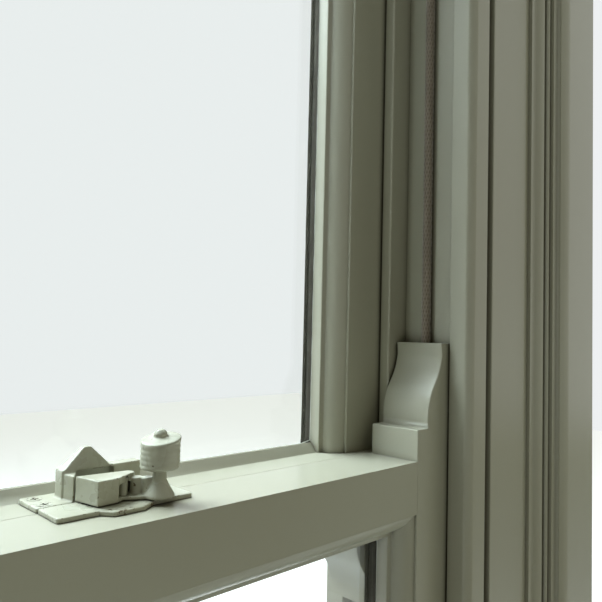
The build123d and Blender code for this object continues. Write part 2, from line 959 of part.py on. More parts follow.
def pulley_case(cord_y):
    """Faceplate, two cheeks and the pin, as one riveted case on the right stile."""
    half_cheek = cheek_height / 2
    upright_block(
        half_channel, half_channel + faceplate_thick,
        cord_y - faceplate_width / 2, cord_y + faceplate_width / 2,
        pulley_z - faceplate_height / 2, pulley_z + faceplate_height / 2,
    )
    upright_block(
        half_channel, half_channel + faceplate_thick,
        cord_y - cheek_gap / 2, cord_y + cheek_gap / 2,
        pulley_z - half_cheek, pulley_z + half_cheek, Mode.SUBTRACT,
    )
    for side in (-1, 1):
        inner = cord_y + side * cheek_gap / 2
        outer = inner + side * cheek_thick
        upright_block(
            half_channel, half_channel + cheek_depth, *sorted((inner, outer)),
            pulley_z - half_cheek, pulley_z + half_cheek,
        )
    with BuildSketch(Plane(origin=(pulley_x, cord_y, pulley_z), z_dir=(0, 1, 0))) as pin:
        Circle(pulley_pin_radius)
    extrude(pin.sketch, amount=cheek_gap / 2 + cheek_thick, both=True)
    rise = faceplate_height / 2 - face_screw_inset
    for z in (-rise, rise):
        screw_body(pulley_place(cord_y, z), Mode.SUBTRACT)


def pulley_wheel(cord_y):
    """A grooved wheel that turns on the case's pin."""
    plane = Plane(origin=(pulley_x, cord_y, pulley_z), x_dir=(1, 0, 0), z_dir=(0, 0, 1))
    bore = pulley_pin_radius + running_gap
    half = pulley_width / 2
    lip = groove_lip_width / 2
    floor = groove_floor_width / 2
    with BuildSketch(plane) as section:
        with BuildLine():
            Polyline(
                (bore, -half),
                (pulley_rim_radius, -half),
                (pulley_rim_radius, -lip),
                (wheel_floor, -floor),
                (wheel_floor, floor),
                (pulley_rim_radius, lip),
                (pulley_rim_radius, half),
                (bore, half),
                close=True,
            )
        make_face()
    revolve(section.sketch, axis=Axis((pulley_x, cord_y, pulley_z), (0, 1, 0)))


def sash_weight(cord_y, bottom, length):
    """A cast weight with a coned head, bored for its cord."""
    radius = weight_diameter / 2
    hole = cord_diameter / 2 + weight_hole_gap
    plane = Plane(origin=(weight_x, cord_y, bottom), x_dir=(1, 0, 0), z_dir=(0, -1, 0))
    with BuildSketch(plane) as section:
        with BuildLine():
            Polyline(
                (0, 0),
                (radius - weight_chamfer, 0),
                (radius, weight_chamfer),
                (radius, length - weight_shoulder),
                (weight_neck_radius, length),
                (hole, length),
                (hole, length - weight_hole_depth),
                (0, length - weight_hole_depth),
                close=True,
            )
        make_face()
    revolve(section.sketch, axis=Axis((weight_x, cord_y, 0), (0, 0, 1)))


def sash_cord(cord_y, sash_end, weight_end):
    """One cord, from the sash's groove up over the wheel and down to the weight."""
    route = side_view(cord_y)
    with BuildLine(route) as path:
        Line((cord_x, sash_end), (cord_x, pulley_z))
        ThreePointArc((cord_x, pulley_z), (pulley_x, pulley_z + cord_bend_radius), (weight_x, pulley_z))
        Line((weight_x, pulley_z), (weight_x, weight_end))
    with BuildSketch(Plane(origin=(cord_x, cord_y, sash_end), z_dir=(0, 0, 1))) as section:
        Circle(cord_diameter / 2)
    sweep(section.sketch, path=path.wires()[0])
    return path.wires()[0].length


lower_weight_bottom = pulley_z - lower_weight_drop - lower_weight_length
upper_weight_bottom = sill_height + upper_weight_rise
cords = (
    ("lower", lower_cord_y, lower_groove_end, lower_weight_bottom, lower_weight_length),
    ("upper", upper_cord_y, upper_groove_end, upper_weight_bottom, upper_weight_length),
)
for name, cord_y, sash_end, weight_bottom, weight_length in cords:
    with BuildPart() as case:
        pulley_case(cord_y)
    save(case, f"{name}_pulley_case_right")
    mirrored(case, f"{name}_pulley_case_left")
    with BuildPart() as wheel:
        pulley_wheel(cord_y)
    save(wheel, f"{name}_pulley_wheel_right")
    mirrored(wheel, f"{name}_pulley_wheel_left")
    with BuildPart() as weight:
        sash_weight(cord_y, weight_bottom, weight_length)
    save(weight, f"{name}_weight_right")
    mirrored(weight, f"{name}_weight_left")
    with BuildPart() as cord:
        run = sash_cord(cord_y, sash_end, weight_bottom + weight_length - weight_hole_depth)
    save(cord, f"{name}_cord_right")
    mirrored(cord, f"{name}_cord_left")
    section = math.pi * cord_diameter**2 / 4
    print(f"{name} cord length {run:.1f}, bend radius {cord_bend_radius}")
    print(f"{name} cord volume {cord.part.volume:.0f}, section times length {section * run:.0f}")

# Screws of the pulley faceplates and the pocket pieces
with BuildPart() as frame_screws:
    for place in (*face_screw_places(), pocket_screw_place):
        screw(place)
    mirror(about=Plane.YZ)
save(frame_screws, "frame_screws")

# Fastener: base plate with the lever's pin, on the lower meeting rail
plate_top = Plane.XY.offset(meeting_z + plate_thick)
pivot = Plane(origin=(lever_pivot_x, lever_pivot_y, meeting_z), z_dir=(0, 0, 1))
with BuildPart() as fastener_base:
    with BuildSketch(Plane.XY.offset(meeting_z)):
        with Locations(((base_left + base_right) / 2, base_y)):
            RectangleRounded(base_right - base_left, base_back - base_front, base_corner)
    extrude(amount=plate_thick)
    with BuildSketch(pivot.offset(plate_thick)):
        Circle(lever_pin_radius)
    extrude(amount=lever_pin_height - plate_thick)
    for place in base_screw_places:
        screw_body(place, Mode.SUBTRACT)
save(fastener_base, "fastener_base")


def swing_edge(y):
    """Where the keep's block ends at depth y, clear of the lever's swing."""
    turn = math.radians(keep_block_cut)
    reach = (nose_clear_radius - (y - lever_pivot_y) * math.sin(turn)) / math.cos(turn)
    return lever_pivot_x + reach


def block_side(y):
    """Left side of the lever's block, carried on over the keep's block."""
    lean = (block_left_back - block_left_front) / (base_back - block_front)
    return block_left_front + lean * (y - block_front)


# Keep on the upper meeting rail: a peaked wall with a pocket that the lever's nose turns into
keep_wall_back = keep_wall_front + keep_wall_thick
keep_wall_y = keep_wall_front + keep_wall_thick / 2
keep_block_back = keep_wall_front - keep_block_slit
with BuildPart() as fastener_keep:
    with BuildSketch(Plane.XY.offset(meeting_z)):
        with Locations(((keep_left + keep_right) / 2, keep_y)):
            RectangleRounded(keep_right - keep_left, keep_back - keep_front, keep_corner)
    extrude(amount=plate_thick)
    upright_block(
        keep_wall_left, keep_wall_right, keep_wall_front, keep_wall_back,
        meeting_z + plate_thick, meeting_z + keep_wall_height,
    )
    with BuildSketch(Plane.XY.offset(meeting_z + keep_wall_height)):
        with Locations(((peak_left + peak_right) / 2, keep_wall_y)):
            Rectangle(peak_right - peak_left, keep_wall_thick)
    with BuildSketch(Plane.XY.offset(meeting_z + peak_height)):
        with Locations((peak_centre, keep_wall_y)):
            Rectangle(2 * peak_tip_radius, 2 * peak_tip_radius)
    loft()
    upright_block(
        swing_edge(keep_wall_front), keep_pocket_right,
        keep_wall_front, lever_pivot_y + nose_clear_radius,
        meeting_z + plate_thick, meeting_z + keep_pocket_height, Mode.SUBTRACT,
    )
    with BuildSketch(Plane.XY.offset(meeting_z + plate_thick)):
        with BuildLine():
            Polyline(
                (block_side(keep_front) - keep_block_proud, keep_front),
                (swing_edge(keep_front), keep_front),
                (swing_edge(keep_block_back), keep_block_back),
                (block_side(keep_block_back) - keep_block_proud, keep_block_back),
                close=True,
            )
        make_face()
    extrude(amount=lever_height - plate_thick)
    for place in keep_screw_places:
        screw_body(place, Mode.SUBTRACT)
save(fastener_keep, "fastener_keep")

# Lever: nosed block, tapering arm, lobed link and pedestal, all one casting that turns on the pin
lever_floor = meeting_z + plate_thick + lever_clearance
pedestal_face = Plane(origin=(pedestal_x, pedestal_y, meeting_z), x_dir=(1, 0, 0), z_dir=(0, -1, 0))
arm_end_y = arm_back - arm_end_radius
rib_angle = math.degrees(math.atan2(pedestal_y - lever_pivot_y, pedestal_x - lever_pivot_x))
rib_length = math.hypot(pedestal_x - lever_pivot_x, pedestal_y - lever_pivot_y)
link_lobe_places = [
    (arm_end + share * (pedestal_x - arm_end), arm_end_y + share * (pedestal_y - arm_end_y))
    for share in link_lobe_shares
]
with BuildPart() as fastener_lever:
    with BuildSketch(Plane.XY.offset(lever_floor)):
        with BuildLine():
            Polyline(
                (arm_end, arm_end_y - arm_end_radius),
                (arm_shoulder, block_front + arm_shoulder_set),
                (block_left_front, block_front),
                (block_left_back, base_back),
                (arm_end, arm_back),
            )
            ThreePointArc(
                (arm_end, arm_back),
                (arm_end + arm_end_radius, arm_end_y),
                (arm_end, arm_end_y - arm_end_radius),
            )
        make_face()
    extrude(amount=meeting_z + lever_height - lever_floor)
    upright_block(
        arm_hollow_start, pedestal_x, block_front - rib_width, arm_hollow_back,
        meeting_z + arm_hollow_floor, meeting_z + arm_hollow_top, Mode.SUBTRACT,
    )
    with BuildSketch(Plane.XY.offset(lever_floor)):
        with Locations(((lever_pivot_x + pedestal_x) / 2, (lever_pivot_y + pedestal_y) / 2)):
            SlotCenterToCenter(rib_length, rib_width, rotation=rib_angle)
    extrude(amount=meeting_z + arm_hollow_floor - lever_floor)
    with BuildSketch(Plane.XY.offset(lever_floor)):
        with Locations(*link_lobe_places):
            Circle(link_lobe_radius)
    extrude(amount=meeting_z + link_height - lever_floor)
    with BuildSketch(pedestal_face):
        with BuildLine():
            foot_z = plate_thick + lever_clearance
            Polyline(
                (0, foot_z),
                (pedestal_foot_radius, foot_z),
                (pedestal_foot_radius, foot_z + pedestal_foot_height),
            )
            ThreePointArc(
                (pedestal_foot_radius, foot_z + pedestal_foot_height),
                (pedestal_bell_radius, pedestal_bell_height),
                (pedestal_neck_radius, pedestal_neck_height),
            )
            Polyline(
                (pedestal_neck_radius, pedestal_neck_height),
                (pedestal_neck_radius, knob_bottom),
                (knob_spindle_radius, knob_bottom),
                (knob_spindle_radius, knob_bottom + knob_spindle_length),
                (0, knob_bottom + knob_spindle_length),
                (0, foot_z),
            )
        make_face()
    revolve(axis=Axis((pedestal_x, pedestal_y, 0), (0, 0, 1)))
    with BuildSketch(pivot.offset(plate_thick)):
        Circle(lever_pin_radius + running_gap)
    extrude(amount=lever_pin_height + nose_swing_gap - plate_thick, mode=Mode.SUBTRACT)
save(fastener_lever, "fastener_lever")

# Knob: a ringed barrel under a leaning cap with a small finial, pressed on the spindle
ring_pitch = knob_height / (knob_rings + 1)
cap_turn = math.radians(knob_cap_turn)
cap_lean = math.radians(knob_cap_lean)
cap_normal = (
    -math.sin(cap_lean) * math.cos(cap_turn),
    -math.sin(cap_lean) * math.sin(cap_turn),
    math.cos(cap_lean),
)
cap_plane = Plane(origin=(pedestal_x, pedestal_y, meeting_z + knob_top), z_dir=cap_normal)
cap_face = Plane(origin=cap_plane.origin, x_dir=cap_plane.x_dir, z_dir=cap_plane.y_dir * -1)
cap_reach = knob_cap_radius * math.tan(cap_lean)


def ring_groove(height):
    """The points of one V groove round the barrel."""
    return [
        (knob_radius, height - knob_ring_width / 2),
        (knob_radius - knob_ring_depth, height),
        (knob_radius, height + knob_ring_width / 2),
    ]


with BuildPart() as fastener_knob:
    with BuildSketch(pedestal_face):
        with BuildLine():
            grooves = [knob_bottom + ring * ring_pitch for ring in range(1, knob_rings + 1)]
            Polyline(
                (0, knob_bottom + knob_spindle_length),
                (knob_spindle_radius, knob_bottom + knob_spindle_length),
                (knob_spindle_radius, knob_bottom),
                (knob_radius - knob_foot_edge, knob_bottom),
                (knob_radius, knob_bottom + knob_foot_rise),
                *[point for height in grooves for point in ring_groove(height)],
                (knob_radius, knob_top + cap_reach),
                (0, knob_top + cap_reach),
                close=True,
            )
        make_face()
    revolve(axis=Axis((pedestal_x, pedestal_y, 0), (0, 0, 1)))
    split(bisect_by=cap_plane.offset(-knob_cap_thick / 2), keep=Keep.BOTTOM)
    with BuildSketch(cap_face):
        with BuildLine():
            Polyline(
                (0, -knob_cap_thick),
                (knob_cap_radius, -knob_cap_thick),
                (knob_cap_radius, 0),
                (finial_radius, knob_cap_crown),
                (finial_radius, finial_height - finial_radius / 2),
                (finial_radius / 2, finial_height),
                (0, finial_height),
                close=True,
            )
        make_face()
    revolve(axis=Axis(cap_plane.origin, cap_plane.z_dir))
save(fastener_knob, "fastener_knob")

with BuildPart() as base_screws:
    for place in base_screw_places:
        screw(place)
save(base_screws, "base_screws")

with BuildPart() as keep_screws:
    for place in keep_screw_places:
        screw(place)
save(keep_screws, "keep_screws")
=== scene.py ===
"""Looks of a painted box sash window: thick old gloss paint, brass pulleys, cotton cords and clear panes."""

import logging
import math
from dataclasses import dataclass
from enum import Enum
from typing import Optional

import bmesh
import bpy
from mathutils import Matrix, Vector
from mathutils.bvhtree import BVHTree


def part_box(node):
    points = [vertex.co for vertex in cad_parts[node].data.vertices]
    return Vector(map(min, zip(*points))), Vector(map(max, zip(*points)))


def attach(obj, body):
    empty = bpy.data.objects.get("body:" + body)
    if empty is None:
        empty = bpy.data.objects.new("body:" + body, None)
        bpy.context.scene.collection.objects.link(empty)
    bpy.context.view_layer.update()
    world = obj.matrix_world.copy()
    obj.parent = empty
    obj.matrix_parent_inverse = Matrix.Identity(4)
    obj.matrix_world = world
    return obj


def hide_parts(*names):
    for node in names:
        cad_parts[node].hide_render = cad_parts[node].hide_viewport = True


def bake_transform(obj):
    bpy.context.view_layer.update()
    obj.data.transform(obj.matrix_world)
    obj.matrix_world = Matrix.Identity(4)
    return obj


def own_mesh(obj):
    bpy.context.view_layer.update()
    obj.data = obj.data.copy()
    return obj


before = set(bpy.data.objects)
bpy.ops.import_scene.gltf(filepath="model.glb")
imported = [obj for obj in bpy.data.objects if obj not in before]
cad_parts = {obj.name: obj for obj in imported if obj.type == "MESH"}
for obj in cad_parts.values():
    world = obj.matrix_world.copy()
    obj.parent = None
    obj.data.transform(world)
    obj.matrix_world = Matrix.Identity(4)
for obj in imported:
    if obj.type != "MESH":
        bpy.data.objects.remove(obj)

MM = 0.001
SAME_PLACE = 0.01 * MM
FLAT_ANGLE = math.radians(0.6)
Colour = tuple[float, float, float, float]
log = logging.getLogger("sash_window")


class Side(Enum):
    """A side of the window as seen from the room, with its sign along X."""

    LEFT = -1
    RIGHT = 1

    @property
    def word(self) -> str:
        """The side's name as the pieces carry it."""
        return self.name.lower()


class Grain(Enum):
    """The way the brush was drawn along a painted piece."""

    UPRIGHT = "upright"
    LEVEL = "level"


class Wiring:
    """A node tree while it is being wired."""

    def __init__(self, tree: bpy.types.NodeTree) -> None:
        """Takes a tree and empties it."""
        self.tree = tree
        self.tree.nodes.clear()

    def node(self, kind: str, **settings: object) -> bpy.types.Node:
        """Adds a node.

        Args:
            kind: Blender's name for the kind of node.
            **settings: Properties set on it.

        Returns:
            The new node.
        """
        made = self.tree.nodes.new(kind)
        for key, value in settings.items():
            setattr(made, key, value)
        return made

    def link(self, source: bpy.types.NodeSocket, target: bpy.types.NodeSocket) -> None:
        """Joins an output to an input."""
        self.tree.links.new(source, target)

    def feed(self, socket: bpy.types.NodeSocket, value: object) -> None:
        """Links a socket to another, or sets its plain value.

        Args:
            socket: The input to fill.
            value: A socket or a plain value.
        """
        if isinstance(value, bpy.types.NodeSocket):
            self.link(value, socket)
        else:
            socket.default_value = value

    def math(self, operation: str, *values: object, clamp: bool = False) -> bpy.types.NodeSocket:
        """A Math node over sockets or numbers.

        Args:
            operation: The operation's name.
            *values: Its inputs in order.
            clamp: Whether the result is held between 0 and 1.

        Returns:
            The result's socket.
        """
        made = self.node("ShaderNodeMath", operation=operation, use_clamp=clamp)
        for socket, value in zip(made.inputs, values):
            self.feed(socket, value)
        return made.outputs[0]


class Shader(Wiring):
    """A new material with a Principled surface, and what the finishes wire it with."""

    def __init__(self, name: str) -> None:
        """Makes the material.

        Args:
            name: The material's name.
        """
        self.material = bpy.data.materials.new(name)
        self.material.use_nodes = True
        super().__init__(self.material.node_tree)
        self.output = self.node("ShaderNodeOutputMaterial")
        self.surface = self.node("ShaderNodeBsdfPrincipled")
        self.link(self.surface.outputs["BSDF"], self.output.inputs["Surface"])
        self.place = self.node("ShaderNodeTexCoord").outputs["Object"]

    def give(self, name: str, value: object) -> None:
        """Feeds one of the surface's inputs, by its name, a socket or a plain value."""
        self.feed(self.surface.inputs[name], value)

    def mapped(self, scale: tuple[float, float, float]) -> bpy.types.NodeSocket:
        """Object coordinates stretched along the axes.

        Args:
            scale: The scale per axis.

        Returns:
            The stretched coordinates' socket.
        """
        made = self.node("ShaderNodeMapping")
        self.link(self.place, made.inputs["Vector"])
        made.inputs["Scale"].default_value = scale
        return made.outputs["Vector"]

    def noise(
        self, scale: float, detail: float, vector: Optional[bpy.types.NodeSocket] = None
    ) -> bpy.types.NodeSocket:
        """A noise value over the piece.

        Args:
            scale: Cells per metre of the mapped coordinates.
            detail: Octaves.
            vector: Coordinates, the plain Object ones when left out.

        Returns:
            The noise's value socket.
        """
        made = self.node("ShaderNodeTexNoise")
        self.link(vector or self.place, made.inputs["Vector"])
        made.inputs["Scale"].default_value = scale
        made.inputs["Detail"].default_value = detail
        return made.outputs["Fac"]

    def spread(
        self, value: bpy.types.NodeSocket, low: float, high: float, start: float = 0.0, end: float = 1.0
    ) -> bpy.types.NodeSocket:
        """Maps a value from one range to another, held at the ends.

        Args:
            value: The socket read.
            low: The value that becomes start.
            high: The value that becomes end.
            start: The result where the value is low.
            end: The result where the value is high.

        Returns:
            The mapped socket.
        """
        made = self.node("ShaderNodeMapRange")
        self.link(value, made.inputs["Value"])
        for key, number in (("From Min", low), ("From Max", high), ("To Min", start), ("To Max", end)):
            made.inputs[key].default_value = number
        return made.outputs["Result"]

    def mix(self, share: object, first: object, second: object) -> bpy.types.NodeSocket:
        """A colour between two others.

        Args:
            share: How much of the second.
            first: A colour or socket.
            second: A colour or socket.

        Returns:
            The mixed colour's socket.
        """
        made = self.node("ShaderNodeMix", data_type="RGBA")
        self.feed(made.inputs["Factor"], share)
        self.feed(made.inputs["A"], first)
        self.feed(made.inputs["B"], second)
        return made.outputs["Result"]

    def bump(
        self, height: bpy.types.NodeSocket, distance: float, under: Optional[bpy.types.NodeSocket] = None
    ) -> bpy.types.NodeSocket:
        """A bumped normal.

        Args:
            height: The height field, 0 to 1.
            distance: The height of 1 in metres.
            under: A bumped normal that this one lies on.

        Returns:
            The normal's socket.
        """
        made = self.node("ShaderNodeBump")
        made.inputs["Strength"].default_value = 1.0
        made.inputs["Distance"].default_value = distance
        self.link(height, made.inputs["Height"])
        if under is not None:
            self.link(under, made.inputs["Normal"])
        return made.outputs["Normal"]

    def crevices(self, reach: float, clear: float, full: float) -> bpy.types.NodeSocket:
        """How deep in a corner each spot lies, where dirt gathers and where painted shade darkens the colour.

        Args:
            reach: How far off a surface still shelters the spot.
            clear: The openness at which the dirt and painted shade start.
            full: The openness at which it is full.

        Returns:
            The share of dirt and painted shade, 0 to 1.
        """
        # Occlusion darkens corners here as painted shade, together with dirt.
        made = self.node("ShaderNodeAmbientOcclusion", samples=8)
        made.inputs["Distance"].default_value = reach
        return self.spread(made.outputs["AO"], low=clear, high=full)


def linear(red: int, green: int, blue: int) -> Colour:
    """A display colour of 0 to 255 a channel as a linear one.

    Args:
        red: Red channel.
        green: Green channel.
        blue: Blue channel.

    Returns:
        The linear colour with full alpha.
    """
    return tuple(
        c / 12.92 if c <= 0.04045 else ((c + 0.055) / 1.055) ** 2.4
        for c in (red / 255, green / 255, blue / 255)
    ) + (1.0,)


@dataclass(frozen=True)
class Finish:
    """What a surface is made of or coated with."""

    name: str

    def material(self) -> bpy.types.Material:
        """The finish's material, made once.

        Returns:
            The material.
        """
        known = bpy.data.materials.get(self.name)
        if known:
            return known
        shader = Shader(self.name)
        self.wire(shader)
        return shader.material

    def wire(self, shader: Shader) -> None:
        """Wires the finish's own nodes into a new material."""
        raise NotImplementedError


@dataclass(frozen=True)
class Paint(Finish):
    """Old oil gloss over many coats, brushed along the piece."""

    grain: Grain
    colour: Colour = linear(159, 158, 142)
    aged: Colour = linear(149, 146, 128)
    # Corner colour: grime together with painted shade, laid in by occlusion.
    grime_and_shade: Colour = linear(54, 46, 28)
    roughness: float = 0.27
    sheen: float = 0.4
    grime_and_shade_reach: float = 12 * MM
    cells_along: float = 9.0
    cells_across: float = 380.0
    stroke_height: float = 0.008 * MM
    swell_height: float = 0.07 * MM

    def wire(self, shader: Shader) -> None:
        """Wires ageing, grime and painted shade in the corners, brush strokes and swell.

        Args:
            shader: The new material's wiring.
        """
        along, across = self.cells_along, self.cells_across
        stretch = {Grain.UPRIGHT: (across, across, along), Grain.LEVEL: (along, across, across)}[self.grain]
        strokes = shader.noise(scale=1.0, detail=2.0, vector=shader.mapped(stretch))
        drift = shader.noise(scale=4.0, detail=0.0)
        swell = shader.noise(scale=55.0, detail=2.0)
        tone = shader.mix(shader.spread(drift, low=0.25, high=0.75), self.colour, self.aged)
        # Corners darkened by occlusion: real grime and painted shade together.
        sheltered = shader.crevices(self.grime_and_shade_reach, clear=0.66, full=0.28)
        patchy = shader.spread(drift, low=0.2, high=0.8, start=0.7, end=1.0)
        grime_and_shade_share = shader.math("MULTIPLY", sheltered, patchy)
        shader.give("Base Color", shader.mix(grime_and_shade_share, tone, self.grime_and_shade))
        shader.give("Roughness", self.roughness)
        shader.give("Specular IOR Level", self.sheen)
        swollen = shader.bump(swell, self.swell_height)
        shader.give("Normal", shader.bump(strokes, self.stroke_height, swollen))


@dataclass(frozen=True)
class ChippedPaint(Finish):
    """The same gloss on the fastener's brass, worn through on its arrises."""

    name: str = "chipped_paint"
    colour: Colour = linear(166, 166, 150)
    aged: Colour = linear(150, 148, 128)
    bare: Colour = linear(84, 70, 46)
    # Corner colour: grime together with painted shade, laid in by occlusion.
    grime_and_shade: Colour = linear(52, 44, 28)
    grime_and_shade_reach: float = 3 * MM
    lump_height: float = 0.35 * MM
    speckle_height: float = 0.06 * MM

    def wire(self, shader: Shader) -> None:
        """Wires ageing, grime and painted shade in the corners, wear on the arrises and lumps of paint.

        Args:
            shader: The new material's wiring.
        """
        drift = shader.noise(scale=45.0, detail=4.0)
        speckle = shader.noise(scale=420.0, detail=3.0)
        edges = shader.node("ShaderNodeNewGeometry").outputs["Pointiness"]
        sharp = shader.spread(edges, low=0.52, high=0.535)
        worn = shader.math("MULTIPLY", sharp, shader.spread(speckle, low=0.58, high=0.61))
        tone = shader.mix(shader.spread(drift, low=0.35, high=0.7), self.colour, self.aged)
        # Corners darkened by occlusion: real grime and painted shade together.
        grime_and_shade_share = shader.crevices(self.grime_and_shade_reach, clear=0.60, full=0.22)
        grimed_and_shaded = shader.mix(grime_and_shade_share, tone, self.grime_and_shade)
        shader.give("Base Color", shader.mix(worn, grimed_and_shaded, self.bare))
        shader.give("Roughness", shader.spread(drift, low=0.3, high=0.7, start=0.24, end=0.34))
        lumpy = shader.bump(drift, self.lump_height)
        shader.give("Normal", shader.bump(speckle, self.speckle_height, lumpy))


@dataclass(frozen=True)
class BareWood(Finish):
    """Unpainted softwood of the weight boxes, with its rings drawn along Z."""

    name: str = "box_softwood"
    pale: Colour = linear(196, 160, 112)
    dark: Colour = linear(142, 104, 64)
    ring_share: float = 0.7
    ring_stretch: tuple[float, float, float] = (1.0, 1.0, 0.06)
    pore_cells: tuple[float, float, float] = (900.0, 900.0, 30.0)
    pore_height: float = 0.12 * MM

    def wire(self, shader: Shader) -> None:
        """Wires rings and pores.

        Args:
            shader: The new material's wiring.
        """
        rings = shader.node("ShaderNodeTexWave", wave_type="BANDS", bands_direction="X")
        shader.link(shader.mapped(self.ring_stretch), rings.inputs["Vector"])
        rings.inputs["Scale"].default_value = 42.0
        rings.inputs["Distortion"].default_value = 5.0
        rings.inputs["Detail"].default_value = 3.0
        pores = shader.noise(scale=1.0, detail=3.0, vector=shader.mapped(self.pore_cells))
        ringed = shader.math("MULTIPLY", rings.outputs["Fac"], self.ring_share)
        share = shader.math("ADD", ringed, shader.math("MULTIPLY", pores, 1.0 - self.ring_share))
        shader.give("Base Color", shader.mix(share, self.pale, self.dark))
        shader.give("Roughness", shader.spread(pores, low=0.2, high=0.8, start=0.6, end=0.85))
        shader.give("Normal", shader.bump(pores, self.pore_height))


@dataclass(frozen=True)
class Metal(Finish):
    """A metal with cast or brushed unevenness and tarnish."""

    colour: Colour
    tarnish: Colour
    metallic: float
    roughness: float
    grit: float = 0.05 * MM
    roughening: float = 0.2

    def wire(self, shader: Shader) -> None:
        """Wires tarnish and grit.

        Args:
            shader: The new material's wiring.
        """
        drift = shader.noise(scale=38.0, detail=5.0)
        grain = shader.noise(scale=700.0, detail=3.0)
        share = shader.spread(drift, low=0.38, high=0.66)
        shader.give("Base Color", shader.mix(share, self.colour, self.tarnish))
        shader.give("Metallic", self.metallic)
        rough = self.roughness + self.roughening
        shader.give("Roughness", shader.spread(drift, low=0.3, high=0.7, start=self.roughness, end=rough))
        shader.give("Normal", shader.bump(grain, self.grit))


@dataclass(frozen=True)
class Putty(Finish):
    """Putty or sealant laid along a pane, matt and uneven."""

    name: str = "aged_putty"
    colour: Colour = linear(58, 54, 46)
    aged: Colour = linear(40, 36, 30)
    shine: float = 0.05
    lump_height: float = 0.3 * MM

    def wire(self, shader: Shader) -> None:
        """Wires ageing and lumps.

        Args:
            shader: The new material's wiring.
        """
        drift = shader.noise(scale=60.0, detail=4.0)
        share = shader.spread(drift, low=0.3, high=0.7)
        shader.give("Base Color", shader.mix(share, self.colour, self.aged))
        shader.give("Roughness", shader.spread(drift, low=0.3, high=0.7, start=0.85, end=0.95))
        shader.give("Specular IOR Level", self.shine)
        shader.give("Normal", shader.bump(drift, self.lump_height))


@dataclass(frozen=True)
class Glass(Finish):
    """Drawn window glass, faintly uneven, that lets daylight through."""

    name: str = "window_glass"
    tint: Colour = (0.94, 0.97, 0.95, 1.0)
    index: float = 1.45
    wave_height: float = 0.12 * MM

    def wire(self, shader: Shader) -> None:
        """Wires the clear glass, which dims a lamp's light only by its tint.

        Args:
            shader: The new material's wiring.
        """
        shader.give("Base Color", self.tint)
        shader.give("Roughness", 0.0)
        shader.give("IOR", self.index)
        shader.give("Transmission Weight", 1.0)
        wave = shader.noise(scale=7.0, detail=1.0)
        shader.give("Normal", shader.bump(wave, self.wave_height))
        clear = shader.node("ShaderNodeBsdfTransparent")
        clear.inputs["Color"].default_value = self.tint
        blend = shader.node("ShaderNodeMixShader")
        path = shader.node("ShaderNodeLightPath")
        shader.link(path.outputs["Is Shadow Ray"], blend.inputs["Fac"])
        shader.link(shader.surface.outputs["BSDF"], blend.inputs[1])
        shader.link(clear.outputs["BSDF"], blend.inputs[2])
        shader.link(blend.outputs["Shader"], shader.output.inputs["Surface"])


@dataclass(frozen=True)
class Cotton(Finish):
    """Waxed cotton cord, greyed by dust; its pattern follows the braid."""

    name: str = "cord_cotton"
    clean: Colour = linear(134, 122, 106)
    dusty: Colour = linear(76, 67, 54)
    roughness: float = 0.92
    down: float = 0.35
    fibre_height: float = 0.25 * MM

    def wire(self, shader: Shader) -> None:
        """Wires dust between the strands, down and fibres.

        Args:
            shader: The new material's wiring.
        """
        raised = shader.node("ShaderNodeAttribute", attribute_name="raised").outputs["Fac"]
        fibres = shader.noise(scale=1500.0, detail=3.0)
        drift = shader.noise(scale=30.0, detail=3.0)
        patchy = shader.spread(drift, low=0.2, high=0.8, start=0.6, end=1.0)
        share = shader.math("MULTIPLY", raised, patchy, clamp=True)
        shader.give("Base Color", shader.mix(share, self.dusty, self.clean))
        shader.give("Roughness", self.roughness)
        shader.give("Sheen Weight", self.down)
        shader.give("Normal", shader.bump(fibres, self.fibre_height))


UPRIGHT_PAINT = Paint("paint_upright", Grain.UPRIGHT)
LEVEL_PAINT = Paint("paint_level", Grain.LEVEL)
FASTENER_PAINT = ChippedPaint()
SOFTWOOD = BareWood()
WINDOW_GLASS = Glass()
GLAZING_PUTTY = Putty()
CORD_COTTON = Cotton()
SEALANT = Putty("sealant", colour=linear(196, 198, 188), aged=linear(150, 150, 134), shine=0.3)
AGED_BRASS = Metal("aged_brass", linear(190, 158, 88), linear(112, 88, 50), metallic=1.0, roughness=0.30)
DULL_STEEL = Metal("dull_steel", linear(160, 158, 152), linear(104, 98, 88), metallic=1.0, roughness=0.38)
CAST_IRON = Metal(
    "cast_iron", linear(58, 54, 52), linear(88, 58, 42), metallic=0.35, roughness=0.62, grit=0.25 * MM
)


